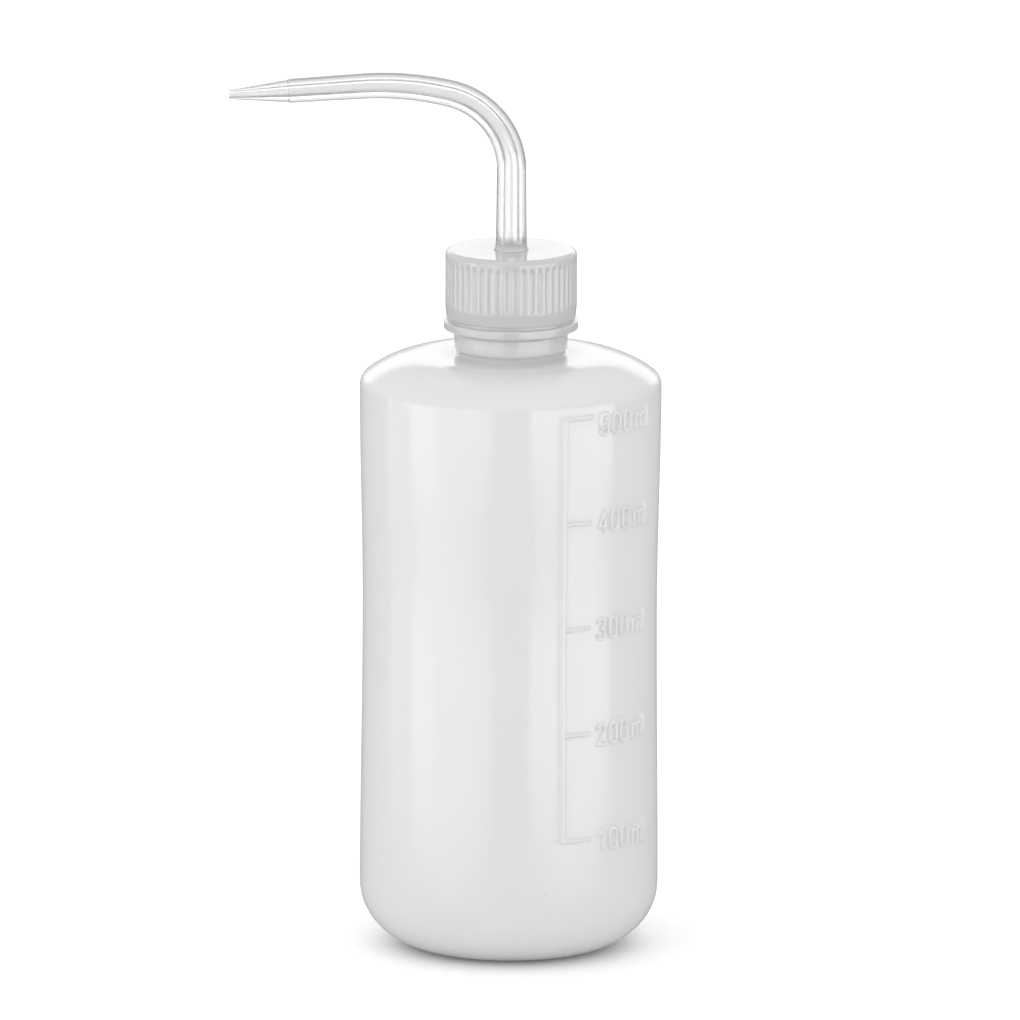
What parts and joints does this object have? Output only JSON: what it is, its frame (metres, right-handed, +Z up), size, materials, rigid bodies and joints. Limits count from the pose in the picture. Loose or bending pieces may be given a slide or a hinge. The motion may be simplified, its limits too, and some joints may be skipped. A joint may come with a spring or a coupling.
{
  "type": "wash bottle",
  "caption": "Squeeze wash bottle with a round translucent body, fluted screw cap, bent spout that tapers to a drawn tip, and a dip tube.",
  "frame": {"origin": "centre of the foot ring, in the plane that the bottle stands on", "axes": "+Z up along the bottle's axis; the spout points to -X at rest; -Y is the front, and the volume scale faces front right"},
  "size_m": [0.1055, 0.0734, 0.216],
  "materials": {
    "bottle_ldpe": "natural milky LDPE, blow moulded, softly glossy",
    "cap_pp": "natural polypropylene, injection moulded, glossy",
    "spout_ldpe": "natural LDPE, clear to milky, glossy",
    "washer_pe": "soft white polyethylene",
    "tube_ldpe": "natural LDPE tube, extruded, glossy"
  },
  "bodies": {
    "bottle": {"bottle": "bottle_ldpe"},
    "washer": {"sealing_washer": "washer_pe"},
    "cap": {"screw_cap": "cap_pp"},
    "spout": {"spout": "spout_ldpe", "dip_tube": "tube_ldpe"}
  },
  "joints": [
    {"name": "closure_lift", "type": "slide", "parent": "bottle", "child": "washer", "axis": [0, 0, 1], "range_m": [0, 0.00701]},
    {"name": "cap_turn", "type": "hinge", "parent": "washer", "child": "cap", "pos_m": [0, 0, 0.162], "axis": [0, 0, 1], "range_deg": [0, 630]},
    {"name": "spout_swivel", "type": "hinge", "parent": "washer", "child": "spout", "pos_m": [0, 0, 0.17], "axis": [0, 0, 1], "continuous": true}
  ],
  "couplings": [
    {"joint": "closure_lift", "follows": "cap_turn", "m_per_rad": 0.00063662}
  ]
}
